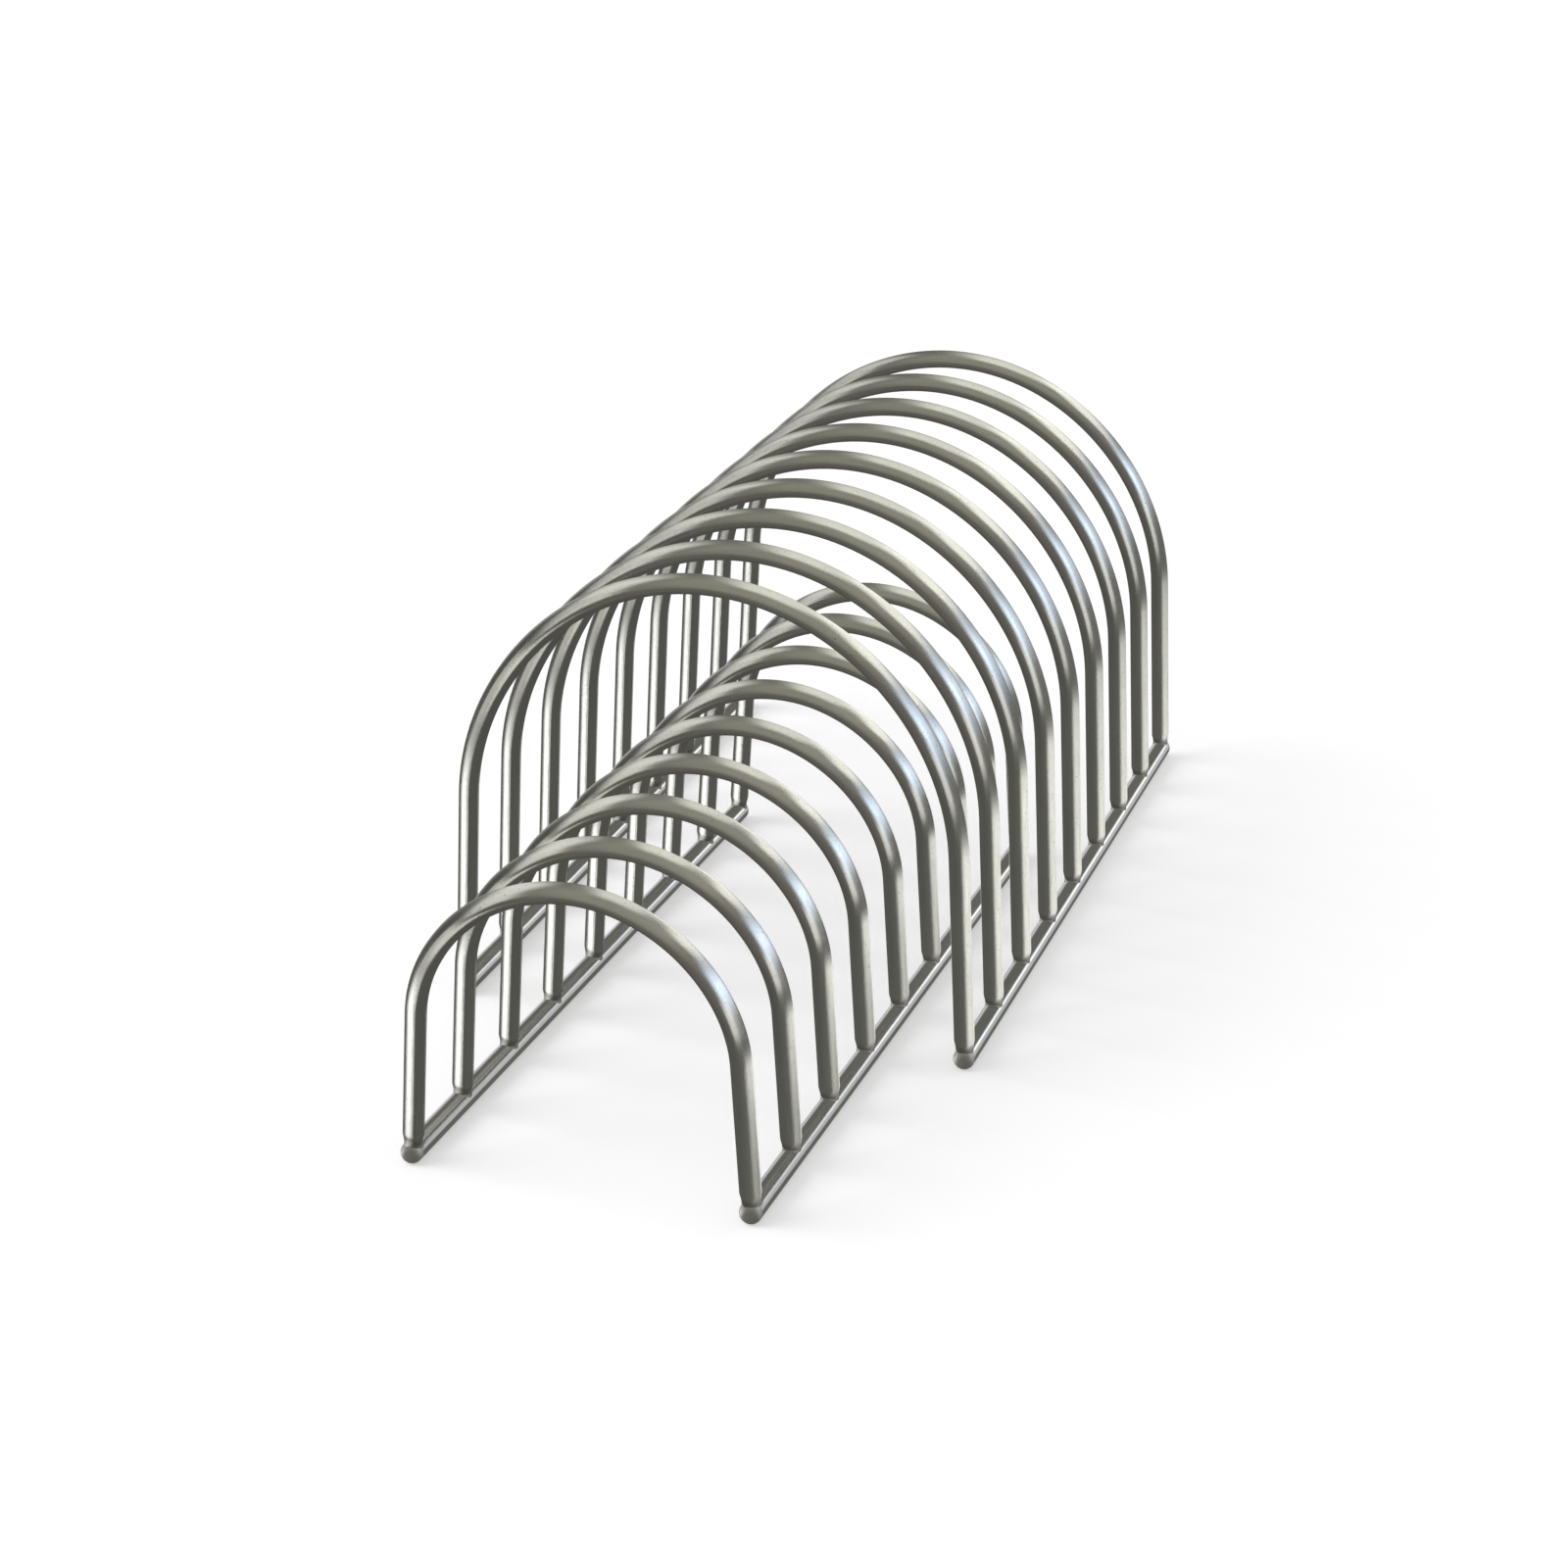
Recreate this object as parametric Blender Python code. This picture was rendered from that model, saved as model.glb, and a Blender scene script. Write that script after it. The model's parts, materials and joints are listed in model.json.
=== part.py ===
"""Toast rack: two nesting racks of round steel wire, the small one standing partly inside the large one.

Each rack is nine arched hoops, all alike, whose legs stand on two straight rails. The rails lie on the
table. The inner rack is loose: it slides along the table through the open end of the outer rack.

Metres, +Z up, +Y along the racks. The origin is the middle of the whole object's base, at table level.
"""

import math

import bmesh
import bpy
from mathutils import Matrix, Vector

# Wire
HOOP_WIRE = 0.0040  # diameter
RAIL_WIRE = 0.0042  # diameter
RAIL_EDGE_ROUND = 0.0003  # rounding of the rim where a rail is cut off
WELD_GAP = 0.0004  # clearance between a leg's foot and the rail it stands on

# Hoops, the same number and spacing in both racks
HOOP_COUNT = 9
HOOP_PITCH = 0.0212
RAIL_OVERHANG = 0.0022  # how far a rail runs past the middle of its end hoop

# Hoop outlines, along the middle of the wire
OUTER_SPREAD = 0.1043  # between the two legs at table level
OUTER_SHOULDER = 0.0435  # height where a leg starts to bend
OUTER_CROWN = 0.0922  # height of the arch
OUTER_LEAN = 0.0486  # how far a leg leans in, for each metre it rises
INNER_SPREAD = 0.0659
INNER_SHOULDER = 0.0303
INNER_CROWN = 0.0581
INNER_LEAN = 0.0639

# Where the inner rack stands
INNER_REACH = 0.0687  # how far its front hoop stands in front of the outer rack's
INNER_TURN = math.radians(-1.02)  # it stands slightly askew

# Faceting
HOOP_SIDES = 12
CROWN_STEPS = 18
RAIL_SIDES = 16
RAIL_EDGE_STEPS = 2
SHARP_ANGLE = math.radians(40)

# Finishes: colour, metallic, roughness
HOOP_STEEL = ((0.56, 0.55, 0.51), 1.0, 0.34)
RAIL_STEEL = ((0.60, 0.59, 0.56), 1.0, 0.28)

RACK_LENGTH = (HOOP_COUNT - 1) * HOOP_PITCH
# A rail's lowest facet lies on the table, so its middle is one apothem up.
RAIL_MIDDLE = RAIL_WIRE / 2 * math.cos(math.pi / RAIL_SIDES)
RAIL_TOP = RAIL_MIDDLE + RAIL_WIRE / 2


def clear_scene():
    for obj in list(bpy.data.objects):
        bpy.data.objects.remove(obj, do_unlink=True)


def steel(name, finish):
    colour, metallic, roughness = finish
    material = bpy.data.materials.new(name)
    material.use_nodes = True
    shader = material.node_tree.nodes["Principled BSDF"]
    shader.inputs["Base Color"].default_value = (*colour, 1.0)
    shader.inputs["Metallic"].default_value = metallic
    shader.inputs["Roughness"].default_value = roughness
    material.diffuse_color = (*colour, 1.0)
    return material


def leg_offset(spread, lean, height):
    """How far from the rack's middle plane a leg is at this height."""
    return spread / 2 - lean * height


def hoop_path(spread, shoulder, crown, lean):
    """Points of one hoop's middle line, foot to foot: a leaning leg, half an ellipse, and the other leg."""
    foot = RAIL_TOP + WELD_GAP
    points = [Vector((-leg_offset(spread, lean, foot), 0, foot))]
    for step in range(CROWN_STEPS + 1):
        angle = math.pi * step / CROWN_STEPS
        height = shoulder + (crown - shoulder) * math.sin(angle)
        points.append(Vector((-leg_offset(spread, lean, height) * math.cos(angle), 0, height)))
    points.append(Vector((leg_offset(spread, lean, foot), 0, foot)))
    return points


def path_direction(points, index):
    before = points[max(index - 1, 0)]
    after = points[min(index + 1, len(points) - 1)]
    return (after - before).normalized()


def hoop_mesh(name, path, finish):
    """Sweeps a round section along a path that lies in the XZ plane."""
    shape = bmesh.new()
    across = Vector((0, 1, 0))
    rings = []
    for index, centre in enumerate(path):
        outward = across.cross(path_direction(path, index))
        ring = []
        for side in range(HOOP_SIDES):
            angle = 2 * math.pi * side / HOOP_SIDES
            offset = outward * math.cos(angle) + across * math.sin(angle)
            ring.append(shape.verts.new(centre + offset * HOOP_WIRE / 2))
        rings.append(ring)
    for ring, following in zip(rings, rings[1:]):
        for side in range(HOOP_SIDES):
            beside = (side + 1) % HOOP_SIDES
            shape.faces.new((ring[side], ring[beside], following[beside], following[side]))
    shape.faces.new(rings[0])
    shape.faces.new(rings[-1])
    return finished_mesh(name, shape, finish)


def rail_mesh(name, finish):
    """A straight bar along Y from the front hoop's place, with a flat facet below and rounded rims."""
    length = RACK_LENGTH + 2 * RAIL_OVERHANG
    half_facet = Matrix.Rotation(math.pi / RAIL_SIDES, 4, "Z")
    lay_down = Matrix.Rotation(math.pi / 2, 4, "X")
    into_place = Matrix.Translation((0, RACK_LENGTH / 2, RAIL_MIDDLE))
    shape = bmesh.new()
    bmesh.ops.create_cone(
        shape,
        cap_ends=True,
        segments=RAIL_SIDES,
        radius1=RAIL_WIRE / 2,
        radius2=RAIL_WIRE / 2,
        depth=length,
        matrix=into_place @ lay_down @ half_facet,
    )
    rims = [edge for edge in shape.edges if any(len(face.verts) > 4 for face in edge.link_faces)]
    bmesh.ops.bevel(
        shape,
        geom=rims,
        offset=RAIL_EDGE_ROUND,
        segments=RAIL_EDGE_STEPS,
        profile=0.5,
        affect="EDGES",
    )
    return finished_mesh(name, shape, finish)


def finished_mesh(name, shape, finish):
    bmesh.ops.recalc_face_normals(shape, faces=shape.faces)
    mesh = bpy.data.meshes.new(name)
    shape.to_mesh(mesh)
    shape.free()
    mesh.materials.append(finish)
    mesh.shade_smooth()
    mesh.set_sharp_from_angle(angle=SHARP_ANGLE)
    return mesh


def place(name, mesh, rack, location):
    part = bpy.data.objects.new(name, mesh)
    part.parent = rack
    part.location = location
    bpy.context.scene.collection.objects.link(part)


def build_rack(side, location, turn, spread, shoulder, crown, lean):
    """One rack under an empty at the foot of its front hoop, which is where the rack slides from."""
    rack = bpy.data.objects.new(f"{side}_rack", None)
    rack.location = location
    rack.rotation_euler.z = turn
    bpy.context.scene.collection.objects.link(rack)

    path = hoop_path(spread, shoulder, crown, lean)
    hoop = hoop_mesh(f"{side}_hoop", path, steel(f"{side}_hoop_steel", HOOP_STEEL))
    for number in range(HOOP_COUNT):
        place(f"{side}_hoop_{number + 1}", hoop, rack, (0, number * HOOP_PITCH, 0))

    rail = rail_mesh(f"{side}_rail", steel(f"{side}_rail_steel", RAIL_STEEL))
    offset = leg_offset(spread, lean, RAIL_MIDDLE)
    place(f"{side}_rail_left", rail, rack, (-offset, 0, 0))
    place(f"{side}_rail_right", rail, rack, (offset, 0, 0))


def outer_front():
    """Where the outer rack's front hoop stands, so that the whole object is centred on the origin."""
    corner = leg_offset(INNER_SPREAD, INNER_LEAN, RAIL_MIDDLE) + RAIL_WIRE / 2
    turn = abs(INNER_TURN)
    inner_end = INNER_REACH + RAIL_OVERHANG * math.cos(turn) + corner * math.sin(turn)
    outer_end = RACK_LENGTH + RAIL_OVERHANG
    return (inner_end - outer_end) / 2


clear_scene()
front = outer_front()
build_rack("outer", (0, front, 0), 0, OUTER_SPREAD, OUTER_SHOULDER, OUTER_CROWN, OUTER_LEAN)
build_rack(
    "inner",
    (0, front - INNER_REACH, 0),
    INNER_TURN,
    INNER_SPREAD,
    INNER_SHOULDER,
    INNER_CROWN,
    INNER_LEAN,
)
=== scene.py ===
"""The toast rack's looks: satin steel wire hoops welded to steel rails, in a pale photo studio.

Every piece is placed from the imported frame. Metres, +Z up, +Y along the racks. In the studio,
compass directions are in degrees: 0 is behind the rack and 90 is to its right.
"""

import json
import math
from collections import namedtuple

import bmesh
import bpy
from mathutils import Matrix, Vector


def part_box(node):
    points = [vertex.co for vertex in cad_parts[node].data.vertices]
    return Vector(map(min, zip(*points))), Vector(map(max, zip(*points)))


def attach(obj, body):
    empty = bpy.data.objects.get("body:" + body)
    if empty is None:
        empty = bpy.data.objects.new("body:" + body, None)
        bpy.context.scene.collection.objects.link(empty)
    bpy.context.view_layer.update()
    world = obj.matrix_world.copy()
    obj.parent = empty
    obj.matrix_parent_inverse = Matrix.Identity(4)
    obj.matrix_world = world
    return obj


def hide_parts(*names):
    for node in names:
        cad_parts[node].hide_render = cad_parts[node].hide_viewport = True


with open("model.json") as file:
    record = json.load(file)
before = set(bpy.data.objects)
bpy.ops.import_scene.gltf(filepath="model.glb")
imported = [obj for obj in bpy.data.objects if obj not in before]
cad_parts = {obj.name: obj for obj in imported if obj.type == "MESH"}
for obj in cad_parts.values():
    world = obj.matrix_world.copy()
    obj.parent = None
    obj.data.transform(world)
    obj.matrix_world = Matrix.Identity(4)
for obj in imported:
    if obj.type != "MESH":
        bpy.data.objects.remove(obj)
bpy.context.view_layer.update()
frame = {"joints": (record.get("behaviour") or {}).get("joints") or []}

SIDES = ("outer", "inner")
HOOP_COUNT = 9
MM = 0.001

# Sizes as in the CAD model
HOOP_RADIUS = 2.0 * MM
RAIL_RADIUS = 2.1 * MM
SHOULDER = {"outer": 43.5 * MM, "inner": 30.3 * MM}
LEAN = {"outer": 0.0486, "inner": 0.0639}

# Feet of the hoops and their welds
NECK_RADIUS = 1.72 * MM
NECK_ABOVE_RAIL = 0.1 * MM
TAPER_HEIGHT = 1.8 * MM
FLARE_ACROSS = 0.1 * MM
FLARE_ALONG = 0.6 * MM
WELD_SINK = 0.04 * MM
WELD_REACH = 0.97  # how far round the top of a rail a weld may reach, as a share of its radius
FILLET_PULLS = (0.35, 0.5)  # how strongly a fillet follows the rail and the leg, as shares of its length
END_MARGIN = 0.12 * MM

# Rails: rounded ends
RIM_ROUND = 1.6 * MM
END_RING = 0.12 * MM

# Mesh fineness
HOOP_RING = 36
CROWN_ROWS = 84
LEG_ROWS = 8
TAPER_ROWS = 7
FILLET_ROWS = 7
RAIL_RING = 48
RAIL_ROWS = 60
RIM_ROWS = 8

# Painted shade: how much darker the inward side of the wire is painted, on the crown and on the legs
CROWN_PAINTED_SHADE = 0.30
LEG_PAINTED_SHADE = 0.17
CROWN_ENDS = 0.425  # share of the way from crown to foot where the crown's shade starts to change
PAINTED_SHADE_FACING = (-0.32, 0.65)  # how far outward the wire faces where the shade is full and where it ends

# Where a piece's grain starts, in metres along the noise, so that no two pieces of a rack match
GRAIN_SHIFT = 0.37
RAIL_GRAIN = {"left": 0.5, "right": 1.0}

# Where the shine lies on a hoop. Its shading direction isn't the round wire's own: it is pushed
# outward from the hoop and forward to the rack's open end. A push is given at the crown and at
# the foot, as a length added to a direction of length 1. The largest turns it by 46 degrees.
OUTWARD_TURN = (0.85, 0.95)
FORWARD_TURN = (0.2, 0.45)
TURN_FADES = (0.2 * MM, 1.1 * MM)  # the turn sets in between these distances from a foot


def centre_of(node):
    low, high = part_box(node)
    return (low + high) / 2


def rack_direction(side):
    """The way that the rack's rails run: the inner rack slides along its own rails."""
    if side == "outer":
        return Vector((0, 1, 0))
    return Vector(frame["joints"][0]["axis"]).normalized()


class Rack:
    """What the frame says about one rack: where it stands and how large its hoops are."""

    def __init__(self, side):
        self.side = side
        self.body = f"{side}_rack"
        self.along = rack_direction(side)
        self.across = Vector((self.along.y, -self.along.x, 0))
        left = centre_of(f"{side}_rail_left")
        right = centre_of(f"{side}_rail_right")
        self.middle = (left + right) / 2
        self.rail_height = RAIL_RADIUS
        self.rail_gap = (right - left).dot(self.across)
        low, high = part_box(f"{side}_rail_left")
        self.rail_length = ((high.y - low.y) - 2 * RAIL_RADIUS * abs(self.along.x)) / self.along.y
        self.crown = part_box(f"{side}_hoop_1")[1].z - HOOP_RADIUS
        self.shoulder = SHOULDER[side]
        self.lean = LEAN[side]

    def leg_offset(self, height):
        """How far the legs stand from the rack's middle at this height."""
        return self.rail_gap / 2 - self.lean * (height - self.rail_height)

    def hoop_place(self, number):
        """How far along the rails a hoop stands, from their middle."""
        return (centre_of(f"{self.side}_hoop_{number}") - self.middle).dot(self.along)

    def matrix(self, place):
        """From a hoop's own axes, X across, Y along and Z up, to where it stands."""
        turn = Matrix((self.across, self.along, Vector((0, 0, 1)))).transposed().to_4x4()
        return Matrix.Translation((place.x, place.y, 0)) @ turn


def ease(share):
    return share * share * (3 - 2 * share)


def clamp(value, low, high):
    return max(low, min(high, value))


def between(ends, share):
    """Eases from the first of two values to the second, as share goes from 0 to 1."""
    return ends[0] + (ends[1] - ends[0]) * ease(share)


def rise_between(ends, value):
    """Eases from 0, where value is at the first end, to 1, where it is at the second."""
    return ease(clamp((value - ends[0]) / (ends[1] - ends[0]), 0, 1))


def rim_radius(distance):
    """A rail's radius at this distance from its nearer end."""
    if distance >= RIM_ROUND:
        return RAIL_RADIUS
    rise = math.sqrt(RIM_ROUND**2 - (RIM_ROUND - distance) ** 2)
    return RAIL_RADIUS - RIM_ROUND + rise


def leg_frame(rack, height, sign):
    """A point on a leg's middle line, and the direction up along it."""
    up = Vector((-sign * rack.lean, 0, 1)).normalized()
    centre = Vector((sign * rack.leg_offset(height), 0, height))
    return centre, up


def ring(centre, outward, radius):
    """Points round a centre, starting at the outward side of the hoop and turning towards +Y."""
    along = Vector((0, 1, 0))
    points = []
    for index in range(HOOP_RING):
        angle = 2 * math.pi * index / HOOP_RING
        points.append(centre + (outward * math.cos(angle) + along * math.sin(angle)) * radius)
    return points


def weld_foot(rack, spoke, centre, rail, place):
    """Where the weld of a hoop meets the round top of its rail, on one side of the leg."""
    side = spoke.x * (NECK_RADIUS + FLARE_ACROSS) + centre.x - rail.x
    reach = rack.rail_length / 2 - END_MARGIN
    forward = clamp(place + spoke.y * (NECK_RADIUS + FLARE_ALONG), -reach, reach)
    surface = rim_radius(rack.rail_length / 2 - abs(forward)) - WELD_SINK
    side = clamp(side, -WELD_REACH * surface, WELD_REACH * surface)
    return rail + Vector((side, forward - place, math.sqrt(surface**2 - side**2)))


def fillet_rows(rack, sign, neck_ring, place):
    """The weld: rings that flare from the neck of a leg onto the round top of its rail."""
    rail = Vector((sign * rack.rail_gap / 2, 0, rack.rail_height))
    neck_height = sum(point.z for point in neck_ring) / len(neck_ring)
    centre, up = leg_frame(rack, neck_height, sign)
    rows = [[] for _ in range(FILLET_ROWS)]
    for top in neck_ring:
        spoke = top - centre
        spoke.z = 0
        spoke.normalize()
        foot = weld_foot(rack, spoke, centre, rail, place)
        normal = Vector((foot.x - rail.x, 0, foot.z - rail.z)).normalized()
        reach = (top - foot).length
        slide = top - foot
        slide -= normal * slide.dot(normal)
        slide.normalize()
        first = foot + slide * reach * FILLET_PULLS[0]
        second = top - up * reach * FILLET_PULLS[1]
        for row in range(FILLET_ROWS):
            share = row / FILLET_ROWS
            rest = 1 - share
            start = foot * rest**3 + first * 3 * rest**2 * share
            rows[row].append(start + second * 3 * rest * share**2 + top * share**3)
    return rows


def leg_rows(rack, sign, place):
    """Rings from the rail up to the shoulder of one leg."""
    neck = rack.rail_height + RAIL_RADIUS + NECK_ABOVE_RAIL
    sizes = []
    for row in range(TAPER_ROWS + 1):
        share = row / TAPER_ROWS
        radius = NECK_RADIUS + (HOOP_RADIUS - NECK_RADIUS) * ease(share)
        sizes.append((neck + TAPER_HEIGHT * share, radius))
    bottom = sizes[-1][0]
    for row in range(1, LEG_ROWS):
        sizes.append((bottom + (rack.shoulder - bottom) * row / LEG_ROWS, HOOP_RADIUS))
    rings = []
    for height, radius in sizes:
        centre, up = leg_frame(rack, height, sign)
        outward = Vector((0, 1, 0)).cross(up) * sign
        rings.append(ring(centre, outward, radius))
    return fillet_rows(rack, sign, rings[0], place) + rings


def crown_rows(rack):
    """Rings over the arch, from the right shoulder to the left one."""
    centres = []
    for row in range(CROWN_ROWS + 1):
        angle = math.pi * row / CROWN_ROWS
        height = rack.shoulder + (rack.crown - rack.shoulder) * math.sin(angle)
        centres.append(Vector((rack.leg_offset(height) * math.cos(angle), 0, height)))
    rows = []
    for index, centre in enumerate(centres):
        if index == 0:
            way = Vector((-rack.lean, 0, 1))
        elif index == CROWN_ROWS:
            way = Vector((-rack.lean, 0, -1))
        else:
            way = centres[index + 1] - centres[index - 1]
        outward = Vector((0, 1, 0)).cross(way.normalized())
        rows.append(ring(centre, outward, HOOP_RADIUS))
    return rows


def mesh_from_rows(name, rows):
    """Joins rings into one closed skin, smooth but for the edges of its two ends."""
    shape = bmesh.new()
    made = [[shape.verts.new(point) for point in row] for row in rows]
    count = len(rows[0])
    for lower, upper in zip(made, made[1:]):
        for index in range(count):
            beside = (index + 1) % count
            side = shape.faces.new((lower[index], lower[beside], upper[beside], upper[index]))
            side.smooth = True
    for end in (made[0], made[-1]):
        cap = shape.faces.new(end)
        for edge in cap.edges:
            edge.smooth = False
    bmesh.ops.recalc_face_normals(shape, faces=shape.faces)
    mesh = bpy.data.meshes.new(name)
    shape.to_mesh(mesh)
    shape.free()
    return mesh


def store(mesh, name, kind, values):
    attribute = mesh.attributes.new(name, kind, "POINT")
    attribute.data.foreach_set("value" if kind == "FLOAT" else "vector", values)


def ring_travel(rows):
    """The middle of each ring, and how far along the wire it is."""
    centres = [sum(row, Vector()) / len(row) for row in rows]
    travel = [0.0]
    for before, after in zip(centres, centres[1:]):
        travel.append(travel[-1] + (after - before).length)
    return centres, travel


def store_wire_space(mesh, rows, start):
    """Per point: distance along the wire and the place across it, for grain that follows it."""
    centres, travel = ring_travel(rows)
    values = []
    for row, centre, distance in zip(rows, centres, travel):
        radius = (row[0] - centre).length
        for index in range(len(row)):
            angle = 2 * math.pi * index / len(row)
            values.extend((start + distance, radius * math.cos(angle), radius * math.sin(angle)))
    store(mesh, "wire_space", "FLOAT_VECTOR", values)


def store_hoop_turn_and_painted_shade(mesh, rows):
    """Per point: the push on the shading direction, the painted shade, and how far the nearer foot is.
    """
    centres, travel = ring_travel(rows)
    length = travel[-1]
    shine = []
    nearest = []
    painted_shade_factor = []
    for index, row in enumerate(rows):
        before = centres[max(index - 1, 0)]
        after = centres[min(index + 1, len(rows) - 1)]
        outward = Vector((0, 1, 0)).cross((after - before).normalized()).normalized()
        share = abs(2 * travel[index] / length - 1)
        distance = min(travel[index], length - travel[index])
        turn = outward * between(OUTWARD_TURN, share)
        turn -= Vector((0, between(FORWARD_TURN, share), 0))
        turn *= rise_between(TURN_FADES, distance)
        # Painted shade on the inward side of the wire, stronger on the crown than on the legs
        shaded = between((CROWN_PAINTED_SHADE, LEG_PAINTED_SHADE), clamp(2 * (share - CROWN_ENDS), 0, 1))
        for point in row:
            facing = (point - centres[index]).normalized().dot(outward)
            shine.extend(turn)
            nearest.append(distance)
            painted_shade_factor.append(1 - shaded * (1 - rise_between(PAINTED_SHADE_FACING, facing)))
    store(mesh, "shine_turn", "FLOAT_VECTOR", shine)
    store(mesh, "from_end", "FLOAT", nearest)
    store(mesh, "painted_shade_factor", "FLOAT", painted_shade_factor)


def hoop_rows(rack, place):
    """All rings of a hoop: up the right leg, over the arch, and down the left leg."""
    right = leg_rows(rack, 1, place)
    left = leg_rows(rack, -1, place)
    return right + crown_rows(rack) + left[::-1]


def add_piece(rack, node, ending, mesh, material):
    """Stands a piece where its node is. It isn't mirrored in the others, so their bands stay clean."""
    mesh.materials.append(material)
    piece = bpy.data.objects.new(f"{node}_{ending}", mesh)
    bpy.context.scene.collection.objects.link(piece)
    piece.matrix_world = rack.matrix(centre_of(node))
    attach(piece, rack.body)
    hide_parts(node)
    piece.visible_glossy = False


def build_hoop(rack, number, material):
    node = f"{rack.side}_hoop_{number}"
    rows = hoop_rows(rack, rack.hoop_place(number))
    mesh = mesh_from_rows(f"{node}_wire", rows)
    store_wire_space(mesh, rows, number * GRAIN_SHIFT)
    store_hoop_turn_and_painted_shade(mesh, rows)
    add_piece(rack, node, "wire", mesh, material)


def rail_profile(length):
    """(distance, radius) along a rail, from one flat end to the other."""
    stations = [(0.0, RAIL_RADIUS - RIM_ROUND - END_RING)]
    for row in range(RIM_ROWS + 1):
        distance = RIM_ROUND * (1 - math.cos(math.pi / 2 * row / RIM_ROWS))
        stations.append((distance, rim_radius(distance)))
    ending = [(length - distance, radius) for distance, radius in reversed(stations)]
    for row in range(1, RAIL_ROWS):
        distance = RIM_ROUND + (length - 2 * RIM_ROUND) * row / RAIL_ROWS
        stations.append((distance, RAIL_RADIUS))
    return stations + ending


def build_rail(rack, hand, material):
    node = f"{rack.side}_rail_{hand}"
    length = rack.rail_length
    rows = []
    from_end = []
    for distance, radius in rail_profile(length):
        centre = Vector((0, distance - length / 2, rack.rail_height))
        nearest = min(distance, length - distance)
        row = []
        for index in range(RAIL_RING):
            angle = 2 * math.pi * index / RAIL_RING
            row.append(centre + Vector((math.cos(angle), 0, math.sin(angle))) * radius)
            from_end.append(nearest)
        rows.append(row)
    mesh = mesh_from_rows(f"{node}_bar", rows)
    store_wire_space(mesh, rows, RAIL_GRAIN[hand])
    store(mesh, "from_end", "FLOAT", from_end)
    add_piece(rack, node, "bar", mesh, material)


class Graph:
    """Adds shader nodes to one node tree. A value may be a number, a vector or a node's output."""

    def __init__(self, tree):
        self.tree = tree

    def add(self, kind, **settings):
        node = self.tree.nodes.new(kind)
        for name, value in settings.items():
            setattr(node, name, value)
        return node

    def feed(self, socket, value):
        if isinstance(value, bpy.types.NodeSocket):
            self.tree.links.new(value, socket)
        else:
            socket.default_value = value

    def maths(self, operation, *values):
        node = self.add("ShaderNodeMath", operation=operation)
        for socket, value in zip(node.inputs, values):
            self.feed(socket, value)
        return node.outputs[0]

    def vector(self, operation, *values):
        node = self.add("ShaderNodeVectorMath", operation=operation)
        for socket, value in zip(node.inputs, values):
            self.feed(socket, value)
        return node.outputs["Value"] if operation == "DOT_PRODUCT" else node.outputs["Vector"]

    def scaled(self, vector, amount):
        node = self.add("ShaderNodeVectorMath", operation="SCALE")
        self.feed(node.inputs[0], vector)
        self.feed(node.inputs["Scale"], amount)
        return node.outputs["Vector"]

    def step(self, value, start, end, low=0.0, high=1.0):
        """Smoothly from low, where value is at start, to high, where it is at end."""
        node = self.add("ShaderNodeMapRange", interpolation_type="SMOOTHSTEP")
        for socket, number in zip(node.inputs, (value, start, end, low, high)):
            self.feed(socket, number)
        return node.outputs[0]

    def angle_from(self, azimuth, middle):
        """How many degrees an azimuth is from a middle one, from -180 to 180."""
        return self.maths("WRAP", self.maths("SUBTRACT", azimuth, middle), 180, -180)

    def noise(self, place, detail, roughness=0.55):
        node = self.add("ShaderNodeTexNoise")
        self.feed(node.inputs["Vector"], place)
        node.inputs["Scale"].default_value = 1
        node.inputs["Detail"].default_value = detail
        node.inputs["Roughness"].default_value = roughness
        return node.outputs["Fac"]

    def attribute(self, name):
        return self.add("ShaderNodeAttribute", attribute_name=name)

    def tint(self, share, first, second):
        node = self.add("ShaderNodeMix", data_type="RGBA")
        self.feed(node.inputs["Factor"], share)
        self.feed(node.inputs["A"], first)
        self.feed(node.inputs["B"], second)
        return node.outputs["Result"]


# Steel: what the drawn, polished and welded wire looks like
STEEL_WARM = (0.61, 0.605, 0.585, 1)
STEEL_COOL = (0.56, 0.56, 0.55, 1)
STEEL_PIT = (0.16, 0.15, 0.13, 1)
STEEL_WELD = (0.27, 0.265, 0.25, 1)

# Noise per millimetre, along the wire and in the two directions across it
LINE_SCALE = (0.16, 4.5, 4.5)
LUMP_SCALE = (2.2, 2.8, 2.8)
CLOUD_SCALE = (0.05, 0.25, 0.25)
PIT_SCALE = (2.6, 3.4, 3.4)

# Between which values of its noise each effect sets in
CLOUD_EDGES = (0.35, 0.65)
LINE_EDGES = (0.3, 0.7)
LUMP_EDGES = (0.35, 0.7)
PIT_EDGES = (0.735, 0.79)

PIT_DEPTH = 0.02 * MM
LINE_ROUGHNESS = 0.035
LUMP_ROUGHNESS = (-0.02, 0.04)


def turned_normal(graph):
    """The shading direction: the surface's own, pushed sideways by the shine_turn attribute."""
    to_world = graph.add(
        "ShaderNodeVectorTransform", vector_type="VECTOR", convert_from="OBJECT", convert_to="WORLD"
    )
    graph.feed(to_world.inputs[0], graph.attribute("shine_turn").outputs["Vector"])
    turn = to_world.outputs[0]
    normal = graph.add("ShaderNodeNewGeometry").outputs["Normal"]
    facing = graph.vector("DOT_PRODUCT", normal, turn)
    across = graph.vector("SUBTRACT", turn, graph.scaled(normal, facing))
    return graph.vector("NORMALIZE", graph.vector("ADD", normal, across))


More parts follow.
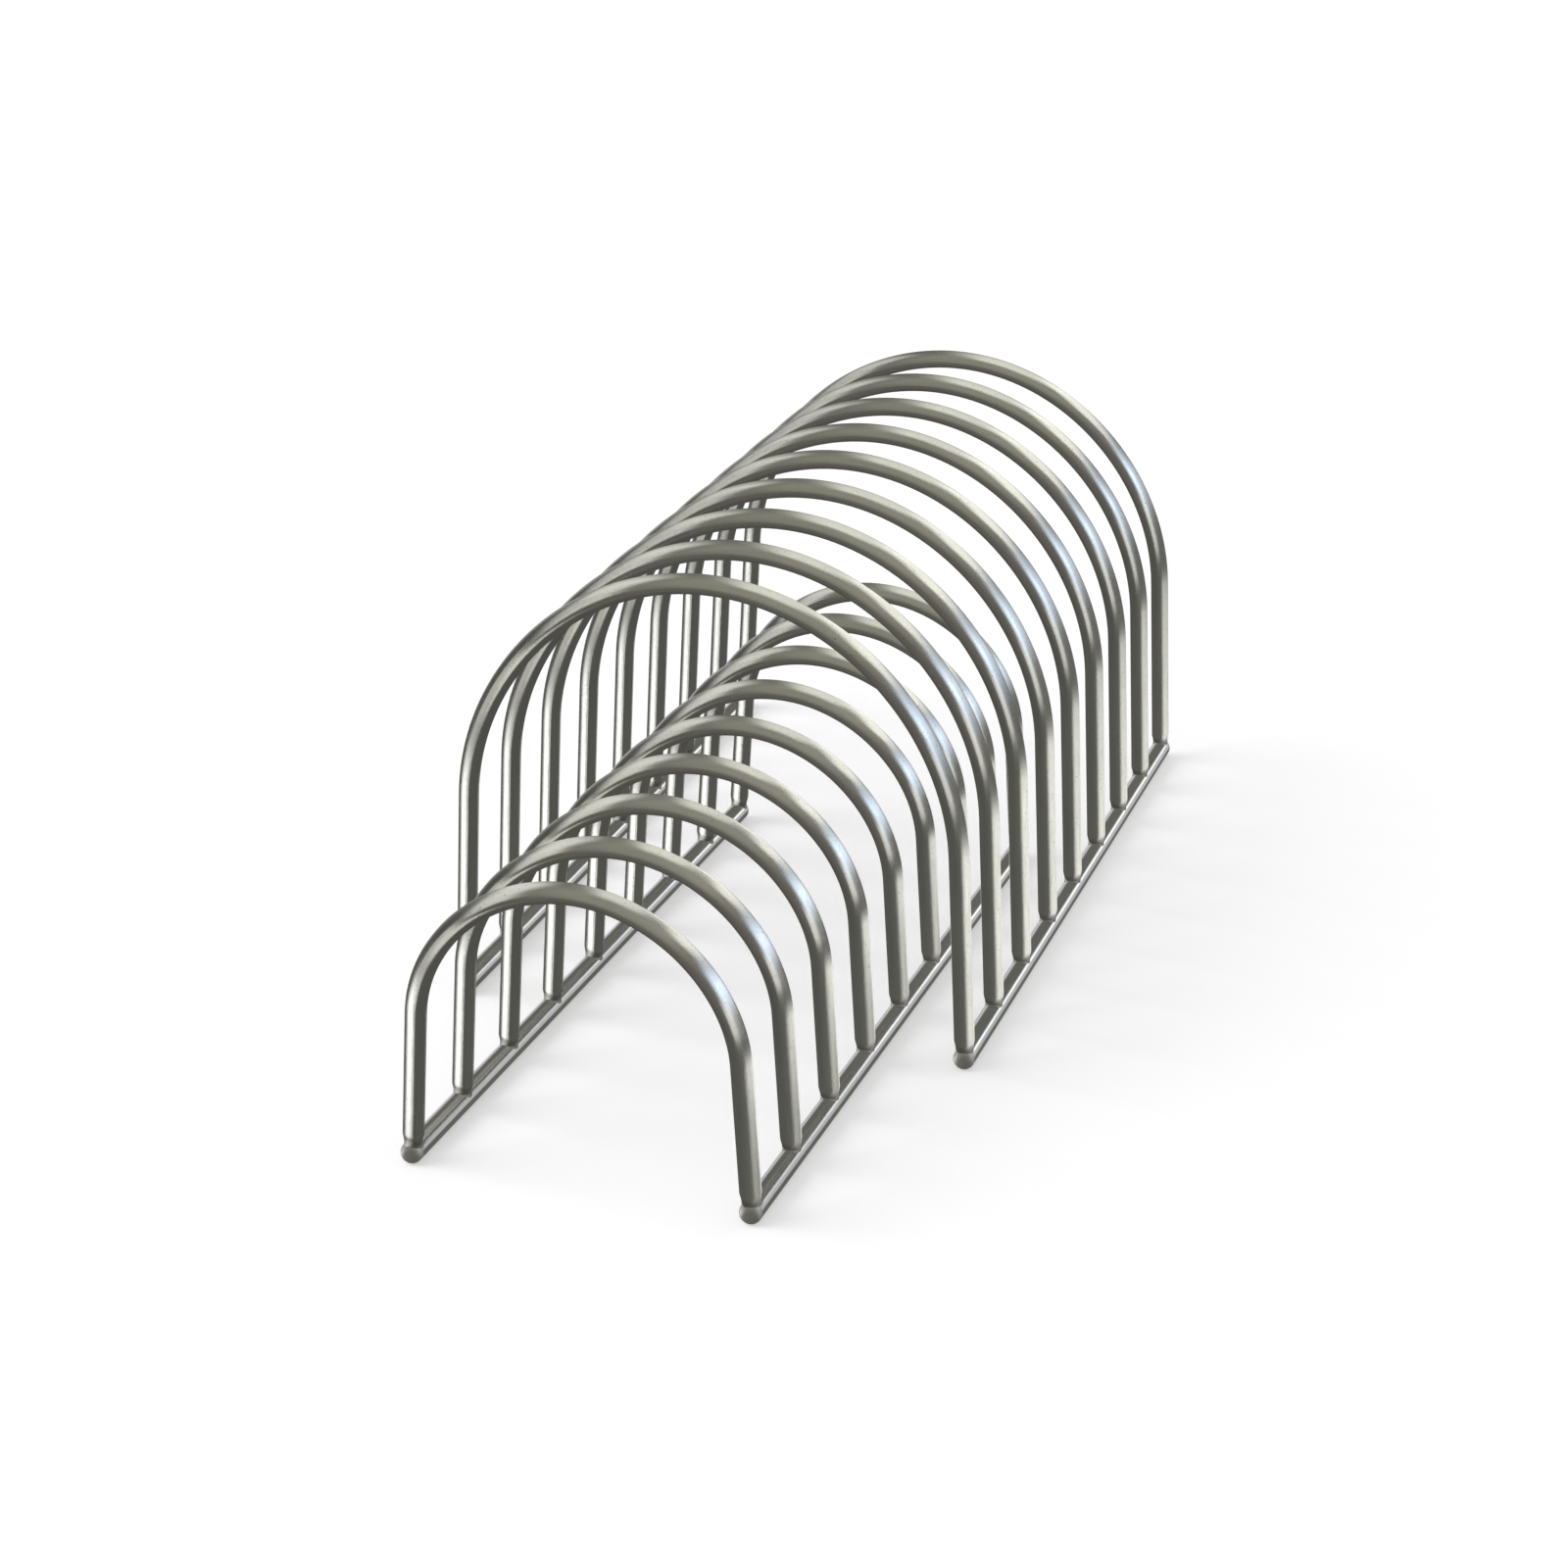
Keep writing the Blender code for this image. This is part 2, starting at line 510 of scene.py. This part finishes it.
def steel(name, roughness, streak, mottle, pits, ground, turned):
    """Satin steel with grain along the wire, fine mottling, a few pits and dulled welds.

    roughness is the middle of its range. streak and mottle are heights in metres.
    ground is the matt finish of a ground weld or end: how far along the wire it reaches, how
    far it darkens towards the weld's colour, from 0 to 1, and how much rougher it is.
    turned pieces have the attributes shine_turn and painted_shade_factor, which is painted shade.
    """
    material = bpy.data.materials.new(name)
    material.use_nodes = True
    graph = Graph(material.node_tree)
    shader = material.node_tree.nodes["Principled BSDF"]
    place = graph.attribute("wire_space").outputs["Vector"]
    place = graph.scaled(place, 1 / MM)
    lines = graph.noise(graph.vector("MULTIPLY", place, LINE_SCALE), 3)
    lumps = graph.noise(graph.vector("MULTIPLY", place, LUMP_SCALE), 3, 0.6)
    cloud = graph.noise(graph.vector("MULTIPLY", place, CLOUD_SCALE), 2)
    pit_noise = graph.noise(graph.vector("MULTIPLY", place, PIT_SCALE), 1)
    pit = graph.maths("MULTIPLY", graph.step(pit_noise, *PIT_EDGES), pits)
    from_end = graph.attribute("from_end").outputs["Fac"]
    reach, darker, rougher = ground
    matt = graph.step(from_end, reach, reach / 3)

    colour = graph.tint(graph.step(cloud, *CLOUD_EDGES), STEEL_COOL, STEEL_WARM)
    colour = graph.tint(graph.maths("MULTIPLY", matt, darker), colour, STEEL_WELD)
    colour = graph.tint(pit, colour, STEEL_PIT)
    # Painted shade: turned wire is darker on its inward side
    if turned:
        colour = graph.scaled(colour, graph.attribute("painted_shade_factor").outputs["Fac"])
    graph.feed(shader.inputs["Base Color"], colour)
    shader.inputs["Metallic"].default_value = 1

    rough = graph.step(lines, *LINE_EDGES, roughness - LINE_ROUGHNESS, roughness + LINE_ROUGHNESS)
    rough = graph.maths("ADD", rough, graph.step(lumps, *LUMP_EDGES, *LUMP_ROUGHNESS))
    rough = graph.maths("ADD", rough, graph.maths("MULTIPLY", matt, rougher))
    graph.feed(shader.inputs["Roughness"], rough)

    height = graph.maths("MULTIPLY", lines, streak)
    height = graph.maths("MULTIPLY_ADD", lumps, mottle, height)
    height = graph.maths("MULTIPLY_ADD", pit, -PIT_DEPTH, height)
    bump = graph.add("ShaderNodeBump")
    bump.inputs["Strength"].default_value = 1
    bump.inputs["Distance"].default_value = 1
    graph.feed(bump.inputs["Height"], height)
    if turned:
        graph.feed(bump.inputs["Normal"], turned_normal(graph))
    graph.feed(shader.inputs["Normal"], bump.outputs["Normal"])
    return material


HOOP_LOOK = {
    "roughness": 0.17,
    "streak": 0.003 * MM,
    "mottle": 0.007 * MM,
    "pits": 1.0,
    "ground": (2.2 * MM, 0.6, 0.25),
    "turned": True,
}
RAIL_LOOK = {
    "roughness": 0.14,
    "streak": 0.0008 * MM,
    "mottle": 0.0004 * MM,
    "pits": 0.1,
    "ground": (3.0 * MM, 0.1, 0.4),
    "turned": False,
}

racks = {side: Rack(side) for side in SIDES}
for side, rack in racks.items():
    hoop_steel = steel(f"{side}_hoop_steel", **HOOP_LOOK)
    rail_steel = steel(f"{side}_rail_steel", **RAIL_LOOK)
    for number in range(1, HOOP_COUNT + 1):
        build_hoop(rack, number, hoop_steel)
    for hand in ("left", "right"):
        build_rail(rack, hand, rail_steel)

# Camera
CAMERA_AZIMUTH = math.radians(18.678)
CAMERA_ELEVATION = math.radians(22.277)
CAMERA_DISTANCE = 0.65288
CAMERA_LENS = 76.82
CAMERA_SENSOR = 36
CAMERA_AIM = Vector((0.00991, -0.03403, 0.04711))

camera_data = bpy.data.cameras.new("camera")
camera = bpy.data.objects.new("camera", camera_data)
bpy.context.scene.collection.objects.link(camera)
camera_data.lens = CAMERA_LENS
camera_data.sensor_width = CAMERA_SENSOR
back = Vector(
    (
        math.sin(CAMERA_AZIMUTH) * math.cos(CAMERA_ELEVATION),
        -math.cos(CAMERA_AZIMUTH) * math.cos(CAMERA_ELEVATION),
        math.sin(CAMERA_ELEVATION),
    )
)
camera.location = CAMERA_AIM + back * CAMERA_DISTANCE
camera.rotation_mode = "QUATERNION"
camera.rotation_quaternion = (-back).to_track_quat("-Z", "Y")
bpy.context.scene.camera = camera
bpy.context.scene.view_settings.view_transform = "Standard"

# Studio: what the steel mirrors. A pair of angles, in degrees, is where a light starts to fade in
# and where it is full. The front light's sides are measured from its middle.
ROOM = (0.18, 0.18, 0.16)
CEILING = (0.2, 0.2, 0.16)
CEILING_RISE = (30, 65)
FRONT = (0.06, 0.05, 0.04)
FRONT_AZIMUTH = 150
FRONT_SIDES = (110, 70)
FRONT_RISE = (-10, 10)

# Soft boxes: a middle, half sizes and a soft edge in degrees, and a colour
EDGE_HEIGHT = 0.7  # the soft edge above and below a box, as a share of that at its sides
SoftBox = namedtuple("SoftBox", "azimuth elevation half_width half_height edge colour")
SOFT_BOXES = (
    # A window low on the left, for the white band down the left legs
    SoftBox(-90, -21, 17, 8, 12, (3.8, 3.8, 3.7)),
    # Two cream panels over it, for the left shoulders
    SoftBox(-105, 2, 28, 10, 5, (1.2, 1.2, 1.1)),
    SoftBox(-70, 30, 32, 12, 8, (0.9, 0.9, 0.84)),
    # A blue-white window on the right, for the streak over the right shoulders
    SoftBox(70, 22, 12, 8, 16, (1.8, 2.15, 2.6)),
    # A white panel under it, for the band down the right legs
    SoftBox(62, -24, 8, 8, 8, (1.6, 1.6, 1.5)),
    # A cream panel beside it
    SoftBox(88, 6, 14, 10, 6, (0.9, 0.9, 0.85)),
    # Cream panels high behind the rack, for the crowns
    SoftBox(42, 42, 20, 9, 8, (1.3, 1.3, 1.2)),
    SoftBox(5, 54, 24, 14, 10, (0.8, 0.8, 0.74)),
    # A grey wall behind the rack, and a strip light in it for the line along the rails
    SoftBox(0, -2, 45, 12, 6, (0.55, 0.57, 0.6)),
    SoftBox(27, 11, 7, 5, 5, (1.5, 1.55, 1.6)),
)
DOME_LIGHT = 0.55
SUN_STRENGTH = 1.45
SUN_AZIMUTH = -108
SUN_ELEVATION = 36
SUN_SPREAD = 45
FLOOR_SIZE = 6
FLOOR_COLOUR = (0.8, 0.8, 0.805, 1)
FLOOR_GLOW = 0.4


def soft_box(graph, azimuth, elevation, box):
    """How much of a soft box is seen in a direction, from 0 to 1."""
    aside = graph.maths("ABSOLUTE", graph.angle_from(azimuth, box.azimuth))
    above = graph.maths("ABSOLUTE", graph.maths("SUBTRACT", elevation, box.elevation))
    rise = box.edge * EDGE_HEIGHT
    wide = graph.step(aside, box.half_width + box.edge, box.half_width - box.edge)
    high = graph.step(above, box.half_height + rise, box.half_height - rise)
    return graph.maths("MULTIPLY", wide, high)


def build_studio():
    """The steel mirrors the soft boxes. The camera sees plain white, and the floor a white dome."""
    world = bpy.data.worlds.new("studio")
    bpy.context.scene.world = world
    world.use_nodes = True
    world.cycles.sampling_method = "NONE"
    graph = Graph(world.node_tree)
    split = graph.add("ShaderNodeSeparateXYZ")
    graph.feed(split.inputs[0], graph.add("ShaderNodeTexCoord").outputs["Generated"])
    azimuth = graph.maths("DEGREES", graph.maths("ARCTAN2", split.outputs["X"], split.outputs["Y"]))
    elevation = graph.maths("DEGREES", graph.maths("ARCSINE", split.outputs["Z"]))
    seen = graph.vector("ADD", ROOM, graph.scaled(CEILING, graph.step(elevation, *CEILING_RISE)))
    aside = graph.maths("ABSOLUTE", graph.angle_from(azimuth, FRONT_AZIMUTH))
    front = graph.maths("MULTIPLY", graph.step(aside, *FRONT_SIDES), graph.step(elevation, *FRONT_RISE))
    seen = graph.vector("ADD", seen, graph.scaled(FRONT, front))
    for box in SOFT_BOXES:
        shining = soft_box(graph, azimuth, elevation, box)
        seen = graph.vector("ADD", seen, graph.scaled(box.colour, shining))
    ray = graph.add("ShaderNodeLightPath")
    mirrored = world.node_tree.nodes["Background"]
    graph.feed(mirrored.inputs["Color"], seen)
    plain = graph.add("ShaderNodeBackground")
    plain.inputs["Color"].default_value = (1, 1, 1, 1)
    strength = graph.step(ray.outputs["Is Camera Ray"], 0, 1, DOME_LIGHT, 1)
    graph.feed(plain.inputs["Strength"], strength)
    both = graph.add("ShaderNodeMixShader")
    graph.feed(both.inputs[0], ray.outputs["Is Glossy Ray"])
    graph.feed(both.inputs[1], plain.outputs[0])
    graph.feed(both.inputs[2], mirrored.outputs[0])
    graph.feed(world.node_tree.nodes["World Output"].inputs["Surface"], both.outputs[0])


def build_sun():
    """A very soft light for the floor's shadows: the steel doesn't mirror it."""
    data = bpy.data.lights.new("window", "SUN")
    data.energy = SUN_STRENGTH
    data.angle = math.radians(SUN_SPREAD)
    sun = bpy.data.objects.new("window", data)
    bpy.context.scene.collection.objects.link(sun)
    azimuth = math.radians(SUN_AZIMUTH)
    elevation = math.radians(SUN_ELEVATION)
    towards = Vector((math.sin(azimuth), math.cos(azimuth), math.tan(elevation)))
    sun.rotation_mode = "QUATERNION"
    sun.rotation_quaternion = towards.to_track_quat("Z", "Y")
    sun.visible_glossy = False


def build_floor():
    bpy.ops.mesh.primitive_plane_add(size=FLOOR_SIZE)
    floor = bpy.context.object
    floor.name = "floor"
    material = bpy.data.materials.new("floor")
    material.use_nodes = True
    shader = material.node_tree.nodes["Principled BSDF"]
    shader.inputs["Base Color"].default_value = FLOOR_COLOUR
    shader.inputs["Roughness"].default_value = 1
    shader.inputs["Specular IOR Level"].default_value = 0
    shader.inputs["Emission Color"].default_value = (1, 1, 1, 1)
    shader.inputs["Emission Strength"].default_value = FLOOR_GLOW
    floor.data.materials.append(material)
    floor.visible_glossy = False
    floor.visible_shadow = False


build_studio()
build_sun()
build_floor()
